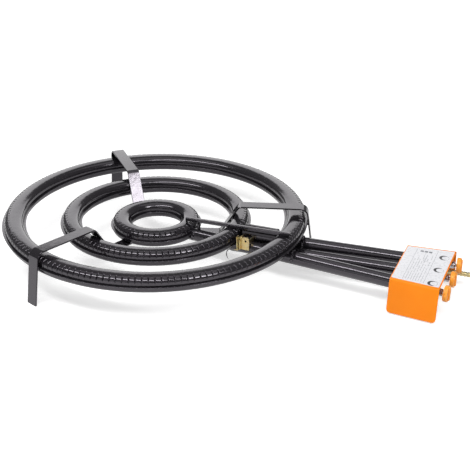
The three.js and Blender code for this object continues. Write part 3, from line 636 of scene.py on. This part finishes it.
def leg_welds():
    """Beads on both edges of each bar, at the outer lip, the middle lip and the ledge."""
    edge = 12.7
    outer = math.sqrt(OUTER["radius"] ** 2 - edge ** 2)
    inner = math.sqrt(MIDDLE["hole"] ** 2 - edge ** 2)
    rng = random.Random(11)
    bm = bmesh.new()
    for angle in LEGS.values():
        for y in (-edge, edge):
            for start, end, z_start, z_end, width, radius in (
                    (outer + 0.4, outer + 0.6, 69, 76, y, 1.5),
                    (inner - 3.4, inner + 0.2, 62, 69, y, 1.4),
                    (67, 80, 43.6, 43.6, y * 0.97, 1.3)):
                path = [(start, width, z_start), (end, width, z_end)]
                bead(bm, path, radius, rng, matrix=turn(angle))
    piece("leg_welds", bm, ENAMEL, sharp=60)


def tube_welds():
    """Beads up both sides of each tube where it passes a ring's wall, and drops of spatter."""
    bead_radius, bead_reach, bead_spans = 2.2, TUBE_RADIUS + 0.4, 8
    spatter_count, spatter_reach = 7, TUBE_RADIUS + 0.2
    rng = random.Random(23)
    bm = bmesh.new()
    for ring, tube in ((OUTER, OUTER), (MIDDLE, INNER), (INNER, INNER), (OUTER, INNER)):
        reach = ring["radius"] - LIP_WIDTH
        place = tube_place(tube, reach)
        to_base = ring["top"] - RING_DEPTH - place.z
        to_lip = ring["top"] - LIP_DROP - 3 - place.z
        start = math.asin(min(max(to_base / TUBE_RADIUS, -0.9), 0.9))
        end = max(math.asin(min(max(to_lip / bead_reach, -1), 1)), start + 0.2)
        matrix = turn(tube["fan"])
        for side in (-bead_reach, bead_reach):
            angles = [start + (end - start) * k / bead_spans for k in range(bead_spans + 1)]
            path = [(reach + 0.8, place.y + side * math.cos(a), place.z + bead_reach * math.sin(a))
                    for a in angles]
            bead(bm, path, bead_radius, rng, matrix=matrix)
        for _ in range(spatter_count):
            a = math.radians(rng.uniform(-35, 55))
            size = rng.uniform(1.2, 2.4)
            spot = shift(reach + rng.uniform(0, 4), place.y - spatter_reach * math.cos(a),
                         place.z + spatter_reach * math.sin(a))
            drop = bmesh.ops.create_icosphere(bm, subdivisions=2, radius=size)["verts"]
            bmesh.ops.transform(bm, matrix=matrix @ spot @ Matrix.Diagonal((1.2, 0.8, 1, 1)), verts=drop)
    piece("tube_welds", bm, ENAMEL, sharp=60)


# Casing end

def tap_matrix(fan):
    """Sets a tap's parts, drawn along X from the manifold, in place."""
    return TO_FRAME @ (turn(fan) @ shift(MANIFOLD_REACH / math.cos(math.radians(fan)), 0, TAP_HEIGHT))


def knob(tap, fan):
    """Round cap with a hollow back, a hub, a grip bar across it and a pale index line."""
    radius, start, front, dish = 15, 42, 50, 0.5
    hub, hub_back, hollow, hollow_end = 5.5, start + 0.4, 13.2, start + 6
    back_edge, front_edge = 0.6, 1.4
    profile = [
        (0, hub_back), (hub, hub_back), (hub, hollow_end), (hollow, hollow_end), (hollow, start),
        *arc(radius - back_edge, start + back_edge, back_edge, -90, 0, 3),
        *arc(radius - front_edge, front - front_edge, front_edge, 0, 90, 5),
        (11.6, front), (11.2, front - dish), (10.4, front - dish), (0, front - 0.3),
    ]
    grip_front, grip_half, grip_reach, line_half = front + 2.4, 2.9, 12, 0.45
    bm = bmesh.new()
    turned(bm, profile, 64)
    block(bm, (front - 1.5, -grip_half, -grip_reach), (grip_front, grip_half, grip_reach),
          edge=0.9, segments=3)
    line = bmesh.new()
    block(line, (grip_front - 0.02, -line_half, 3), (grip_front, line_half, 11))
    body = f"knob_{tap}"
    piece(f"knob_{tap}_cap", bm, PLASTIC, (f"knob_{tap}",), body, 35, tap_matrix(fan))
    piece(f"knob_{tap}_line", line, STICKER, (), body, 35, tap_matrix(fan))


def threaded_bonnet(tap, fan):
    """Bonnet with a flange and a threaded nose, and the nut on it."""
    flange, flange_start, flange_end = 12, 14.4, 17.3
    nose, root, end, bore, cavity, cavity_end = 7.0, 6.45, 39, 3.1, 5.4, 30
    profile = [(cavity, flange_start), (flange, flange_start), (flange, flange_end - 0.3),
               (flange - 0.4, flange_end), (nose, flange_end)]
    for along in range(18, 38):
        profile += [(root, along), (nose, along + 0.35), (nose, along + 0.65), (root, along + 1)]
    profile += [(6.9, 38.2), (6.4, end), (bore, end), (bore, cavity_end), (cavity, cavity_end)]
    bm = bmesh.new()
    turned(bm, profile, 40)
    piece(f"bonnet_{tap}_nose", bm, CHROME, (f"tap_bonnet_{tap}",), matrix=tap_matrix(fan))
    nut = bmesh.new()
    hexagon(nut, 7.05, 9.0, 9.9, 22.0, 26.2, 0.5)
    piece(f"tap_nut_{tap}", nut, CHROME, matrix=tap_matrix(fan))


def hose_nozzle():
    """Nozzle with a spigot, a hexagon, a neck and five barbs."""
    bore, spigot, spigot_length = 2.6, 3.7, 6
    neck, root, hex_end = 5, 4.05, 7.3
    barbs_start, barb_length, end = 19.3, 7, 54.3
    profile = [(bore, -spigot_length), (spigot, -spigot_length), (spigot, hex_end), (neck, hex_end),
               (neck, 17.5), (4.6, 18.5)]
    for k in range(5):
        start = barbs_start + barb_length * k
        profile += [(neck, start + 0.2), (neck, start + 1), (root, start + 6.6), (root, start + barb_length)]
    profile += [(3.9, end - 0.2), (3.4, end), (bore, end)]
    bm = bmesh.new()
    turned(bm, profile, 40)
    hexagon(bm, 4.6, 8.2, 8.9, 0.3, hex_end, 0.6)
    low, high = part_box("hose_nozzle")
    centre = Vector((low.x, (low.y + high.y) / 2, (low.z + high.z) / 2))
    place = Matrix.Translation(centre) @ Matrix.Scale(MM, 4) @ shift(x=spigot_length)
    piece("hose_nozzle_barbs", bm, BRASS, ("hose_nozzle",), matrix=place)


# Sticker on the casing top, which widens towards the knobs

STICKER_START, STICKER_END = 492.6, 579.6
STICKER_START_HALF, STICKER_END_HALF = 66.6, 73.6
STICKER_CORNER = 2.5
STICKER_THICKNESS = 0.12
STICKER_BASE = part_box("tap_casing")[1].z / MM
INK_HEIGHT = STICKER_BASE + STICKER_THICKNESS + 0.001


def half_width(reach):
    share = (reach - STICKER_START) / (STICKER_END - STICKER_START)
    return STICKER_START_HALF + (STICKER_END_HALF - STICKER_START_HALF) * share


def casing_sticker():
    near, near_half = STICKER_START + STICKER_CORNER, STICKER_START_HALF - STICKER_CORNER
    far, far_half = STICKER_END - STICKER_CORNER, STICKER_END_HALF - STICKER_CORNER
    centres = ((far, far_half), (near, near_half), (near, -near_half), (far, -far_half))
    outline = []
    for quarter, (x, y) in enumerate(centres):
        outline += arc(x, y, STICKER_CORNER, 90 * quarter, 90 * quarter + 90, 5)
    bm = bmesh.new()
    heights = (STICKER_BASE, STICKER_BASE + STICKER_THICKNESS)
    skin(bm, [[(x, y, height) for x, y in outline] for height in heights], closed=False)
    piece("casing_sticker", bm, STICKER)


def ink_band(bm, first, second):
    """Flat quads between two lines of as many points."""
    first = [bm.verts.new((*p, INK_HEIGHT)) for p in first]
    second = [bm.verts.new((*p, INK_HEIGHT)) for p in second]
    for i in range(len(first) - 1):
        bm.faces.new((first[i], first[i + 1], second[i + 1], second[i]))


def flame_marks():
    """A crescent with a thin rim across its open side, behind each knob."""
    x = 566
    bm = bmesh.new()
    for y in (42, -9, -62):
        ink_band(bm, arc(x, y, 9.2, 75, 285, 28), arc(x + 2.9, y, 7.3, 75, 285, 28))
        ink_band(bm, arc(x, y, 9.0, -75, 75, 20), arc(x, y, 8.7, -75, 75, 20))
    piece("sticker_flame_marks", bm, DARK_INK)


def sticker_rules():
    """Two long rules, three blocks, a small frame, and rows of dashes."""
    bm = bmesh.new()

    def rule(x, start, end, wide):
        left, right = x - wide / 2, x + wide / 2
        ink_band(bm, [(left, start), (right, start)], [(left, end), (right, end)])

    for x in (512, 550.5):
        rule(x, -half_width(x) + 4, half_width(x) - 4, 0.5)
    for x in (522, 530, 538):
        rule(x, 52, 58, 6)
    frame_start, frame_end, line = 17, 26.6, 0.6
    for y in (frame_start, frame_end - line):
        rule(536, y, y + line, 7)
    for x in (532.5, 539.5):
        rule(x, frame_start, frame_end, line)
    rng = random.Random(5)
    for x in (517, 521.5, 526, 530.5, 535, 540, 545):
        y = -half_width(x) + 7
        end = half_width(x) - rng.uniform(10, 70)
        while y < end:
            run = rng.uniform(12, 34)
            rule(x, y, min(y + run, end), 0.55)
            y += run + rng.uniform(4, 9)
    piece("sticker_rules", bm, GREY_INK)


# Small fittings by the rings

def wire_tail():
    """A short bent wire under the front tube."""
    points = [(173, -11, 43), (169, -17, 43.5), (167.5, -21, 40), (168.5, -23, 35), (171, -24, 30),
              (174, -24.5, 27)]
    bm = bmesh.new()
    bead(bm, points, 0.8, random.Random(3), pitch=9)
    piece("wire_tail", bm, ENAMEL, matrix=TO_FRONT_TUBE, sharp=60)


def carry_over_strip():
    """Narrow upturned channel that lies on the two larger crowns, its end turned down."""
    half, tall, sheet, corner = 3.75, 6.5, 1.2, 1.6
    channel_angle, set_back, crown_edge = -5, 11, 16.8
    tilt = math.atan2(OUTER["top"] - MIDDLE["top"], OUTER["hole"] - MIDDLE["hole"])
    start = (INNER["hole"] + INNER["radius"]) / 2
    height = MIDDLE["top"] + SEAT_GAP - (MIDDLE["hole"] + crown_edge - start) * math.tan(tilt)
    length = (OUTER["radius"] - set_back - start) / math.cos(tilt)
    drop = (height - INNER["top"] - SEAT_GAP) / math.cos(tilt)
    place = turn(channel_angle) @ shift(start, 0, height) @ turn(-math.degrees(tilt), "Y")
    section = [(-half, 0), *reversed(arc(-half + corner, tall - corner, corner, 90, 180, 4)),
               *reversed(arc(half - corner, tall - corner, corner, 0, 90, 4)), (half, 0),
               (half - sheet, 0), (half - sheet, tall - sheet), (sheet - half, tall - sheet),
               (sheet - half, 0)]
    rows = [[place @ Vector((x, y, z)) for y, z in section] for x in (0, 1, length * 0.5, length - 1, length)]
    bm = bmesh.new()
    skin(bm, rows, closed=False)
    block(bm, (0, -half, -drop), (sheet, half, tall - 1), place, 0.3)
    piece("channel_strip", bm, ENAMEL, ("carry_over_channel",), sharp=40)


def bracket():
    """Drilled plate against the front tube, with two flanges, two cheeks and a foot."""
    low, high, sheet, edge = 50, 76, 1.5, 0.3
    start, end, face = 191, 212, -13.2
    hole_x, hole_z, hole_radius = 205, 68, 2.5
    outline = [*arc(end - 1, low + 1, 1, -90, 0, 3), *arc(end - 4, high - 4, 4, 0, 90, 8),
               (start + 10, high), (start + 9.2, high - 1.6), (start + 6.5, high - 1.6),
               (start + 6, high + 0.6), (start + 2.6, high + 0.6), (start + 2.2, high - 2),
               (start + 0.2, high - 2), (start + 0.2, low)]
    hole = []
    for x, z in outline:
        way = Vector((x - hole_x, z - hole_z)).normalized() * hole_radius
        hole.append((hole_x + way.x, hole_z + way.y))
    loops = ((hole, face), (outline, face), (outline, face - sheet), (hole, face - sheet))
    bm = bmesh.new()
    skin(bm, [[(x, y, z) for x, z in line] for line, y in loops])
    lean = shift(start, face, low) @ turn(-4, "Y") @ shift(-start, -face, -low)
    second = start + 3.5
    block(bm, (start, face - 11, low), (start + sheet, face, high + 1.5), lean, edge)
    block(bm, (second, face - 7, low), (second + sheet, face, high - 6), lean, edge)
    block(bm, (start - 5, face - 10.5, low), (start + 2, face - 3, low + sheet), edge=edge)
    for x in (start, end - sheet):
        block(bm, (x, face - 0.2, low + 12), (x + sheet, face + 20, high - 4), edge=edge)
    piece("bracket_plate", bm, YELLOW_ZINC, ("zinc_bracket",), matrix=TO_FRONT_TUBE, sharp=40)


def channel_lug():
    """Small bent lug between the inner ring's tube and the carry-over channel."""
    start, low, half = 95, 61, 5
    bm = bmesh.new()
    block(bm, (start, -half, low), (start + 2.2, half, 77.5), edge=0.6)
    block(bm, (start, -half, low), (start + 11, half, low + 2.4), edge=0.6)
    piece("channel_lug", bm, ENAMEL, matrix=TO_FRONT_TUBE)


for ring_name, ring in RINGS.items():
    lid(ring_name, ring)
    trough(ring_name, ring)
    mixing_tube(ring_name, ring)
for leg_name, leg_angle in LEGS.items():
    leg(leg_name, leg_angle)
bridging_duct()
leg_welds()
tube_welds()
for tap_name, tap_fan in TAPS.items():
    knob(tap_name, tap_fan)
    threaded_bonnet(tap_name, tap_fan)
    finer(f"tap_body_{tap_name}_cast", f"tap_body_{tap_name}", BRASS, 0.4)
    finer(f"tap_plug_{tap_name}_taper", f"tap_plug_{tap_name}", BRASS, 0.1, f"plug_{tap_name}")
    finer(f"tap_stem_{tap_name}_shaft", f"tap_stem_{tap_name}", ZINC, 0.15, f"knob_{tap_name}")
    finer(f"jet_{tap_name}_hex", f"jet_{tap_name}", BRASS, 0.2)
carry_over_strip()
bracket()
finer("casing_sheet", "tap_casing", PAINT, 0.4)
finer("tube_plate_pressing", "tube_plate", ZINC, 0.4)
finer("tap_plate_pressing", "tap_plate", ZINC, 0.4)
finer("manifold_tube", "manifold_pipe", ZINC, 0.2)
finer("end_plug_hex", "manifold_end_plug", ZINC, 0.3)
finer("elbow_body", "inlet_elbow", ZINC, 0.3)
hose_nozzle()
casing_sticker()
flame_marks()
sticker_rules()
wire_tail()
channel_lug()


# Camera, world, floor and light, in metres

SENSOR_WIDTH = 36
FOCAL_PIXELS = 1064.694
PHOTO_PIXELS = 470
CLIP_START, CLIP_END = 0.05, 60
CAMERA_PLACE = (0.67929332, -1.72361674, 0.97218973)
CAMERA_RIGHT = (0.931401, 0.36396785, 0.00442551)
CAMERA_UP = (-0.16477593, 0.4107615, 0.89672955)
CAMERA_AHEAD = (-0.3245629, 0.83594401, -0.44255681)
WORLD_DIFFUSE = 0.16
WORLD_MIRRORED = 0.235
FLOOR_HALF = 30
FLOOR_SHADE = 0.80
FLOOR_ROUGHNESS = 0.9
FLOOR_NEAR, FLOOR_FAR = 0.9, 3.2
FLOOR_NEAR_GLOW, FLOOR_FAR_GLOW = 0.36, 0.95
FLOOR_DIRECT_GLOW = 0.2
RIG_AIM = (AXIS.x, AXIS.y, 0.075)

# Each lamp's name, direction from the rings, distance, width and depth, and watts
LAMPS = (
    ("key", (0.531, -0.283, 0.799), 2.6, (1.25, 1.15), 11),
    ("low_key", (0.654, -0.377, 0.655), 2.6, (0.75, 0.5), 17),
    ("strip", (-0.14, -0.484, 0.862), 2.2, (2.5, 0.42), 31),
    ("overhead", (-0.1, 0.15, 1), 2.8, (2.2, 2.2), 9),
    ("back", (-0.40, 0.88, 0.29), 3.0, (3.2, 1.5), 24),
    ("front", (-0.15, -0.95, 0.30), 3.0, (2.6, 1.4), 6),
)


def set_camera():
    data = bpy.data.cameras.new("photo_camera")
    data.sensor_width = SENSOR_WIDTH
    data.lens = FOCAL_PIXELS / PHOTO_PIXELS * SENSOR_WIDTH
    data.clip_start, data.clip_end = CLIP_START, CLIP_END
    camera = bpy.data.objects.new("photo_camera", data)
    SCENE.collection.objects.link(camera)
    rows = (Vector(CAMERA_RIGHT), Vector(CAMERA_UP), -Vector(CAMERA_AHEAD))
    camera.matrix_world = Matrix.Translation(CAMERA_PLACE) @ Matrix(rows).transposed().to_4x4()
    SCENE.camera = camera


def direct_rays(tree):
    """1 for camera rays, else 0."""
    return add_node(tree, "ShaderNodeLightPath", {}).outputs["Is Camera Ray"]


def seen_rays(tree):
    """1 for camera, glossy and transmission rays, else 0."""
    path = add_node(tree, "ShaderNodeLightPath", {})
    total = path.outputs["Is Camera Ray"]
    for name in ("Is Glossy Ray", "Is Transmission Ray"):
        total = add_node(tree, "ShaderNodeMath", {0: total, 1: path.outputs[name]},
                         operation="MAXIMUM").outputs[0]
    return total


def scaled(tree, source, zero, one):
    return add_node(tree, "ShaderNodeMapRange",
                    {"Value": source, "To Min": zero, "To Max": one}).outputs["Result"]


def set_world():
    """White where the camera sees it, and a dimmer studio where it lights or is mirrored."""
    world = bpy.data.worlds.new("studio")
    world.use_nodes = True
    SCENE.world = world
    tree = world.node_tree
    background = tree.nodes["Background"]
    background.inputs["Color"].default_value = (1, 1, 1, 1)
    studio = scaled(tree, seen_rays(tree), WORLD_DIFFUSE, WORLD_MIRRORED)
    strength = add_node(tree, "ShaderNodeMath", {0: studio, 1: direct_rays(tree)}, operation="MAXIMUM")
    tree.links.new(strength.outputs[0], background.inputs["Strength"])


def floor_look():
    """Pale paper, with a glow that grows with distance and that lights nothing by diffuse rays."""
    look = bpy.data.materials.new("floor_paper")
    look.use_nodes = True
    tree = look.node_tree
    shader = tree.nodes["Principled BSDF"]
    shader.inputs["Base Color"].default_value = (FLOOR_SHADE, FLOOR_SHADE, FLOOR_SHADE, 1)
    shader.inputs["Roughness"].default_value = FLOOR_ROUGHNESS
    shader.inputs["Specular IOR Level"].default_value = 0.0
    shader.inputs["Emission Color"].default_value = (1, 1, 1, 1)
    place = add_node(tree, "ShaderNodeTexCoord", {}).outputs["Object"]
    reach = add_node(tree, "ShaderNodeVectorMath", {0: place}, operation="LENGTH").outputs["Value"]
    fade = {"Value": reach, "From Min": FLOOR_NEAR, "From Max": FLOOR_FAR,
            "To Min": FLOOR_NEAR_GLOW, "To Max": FLOOR_FAR_GLOW}
    far = add_node(tree, "ShaderNodeMapRange", fade).outputs["Result"]
    glow = add_node(tree, "ShaderNodeMath", {0: seen_rays(tree), 1: far}, operation="MULTIPLY").outputs[0]
    direct = scaled(tree, direct_rays(tree), 0, FLOOR_DIRECT_GLOW)
    total = add_node(tree, "ShaderNodeMath", {0: glow, 1: direct}, operation="ADD").outputs[0]
    tree.links.new(total, shader.inputs["Emission Strength"])
    return look


def set_floor():
    bm = bmesh.new()
    bmesh.ops.create_grid(bm, x_segments=1, y_segments=1, size=FLOOR_HALF)
    mesh = bpy.data.meshes.new("floor")
    bm.to_mesh(mesh)
    bm.free()
    mesh.materials.append(floor_look())
    floor = bpy.data.objects.new("floor", mesh)
    SCENE.collection.objects.link(floor)


def set_lamp(name, towards, distance, size, power):
    """A soft lamp that the camera doesn't see, aimed at the rings."""
    data = bpy.data.lights.new(name, "AREA")
    data.shape = "RECTANGLE"
    data.size, data.size_y = size
    data.energy = power
    lamp = bpy.data.objects.new(name, data)
    SCENE.collection.objects.link(lamp)
    way = Vector(towards).normalized()
    lamp.location = Vector(RIG_AIM) + way * distance
    lamp.visible_camera = False
    lamp.rotation_mode = "QUATERNION"
    lamp.rotation_quaternion = way.to_track_quat("Z", "Y")


SCENE.view_settings.view_transform = "Standard"
set_camera()
set_world()
set_floor()
for lamp_row in LAMPS:
    set_lamp(*lamp_row)
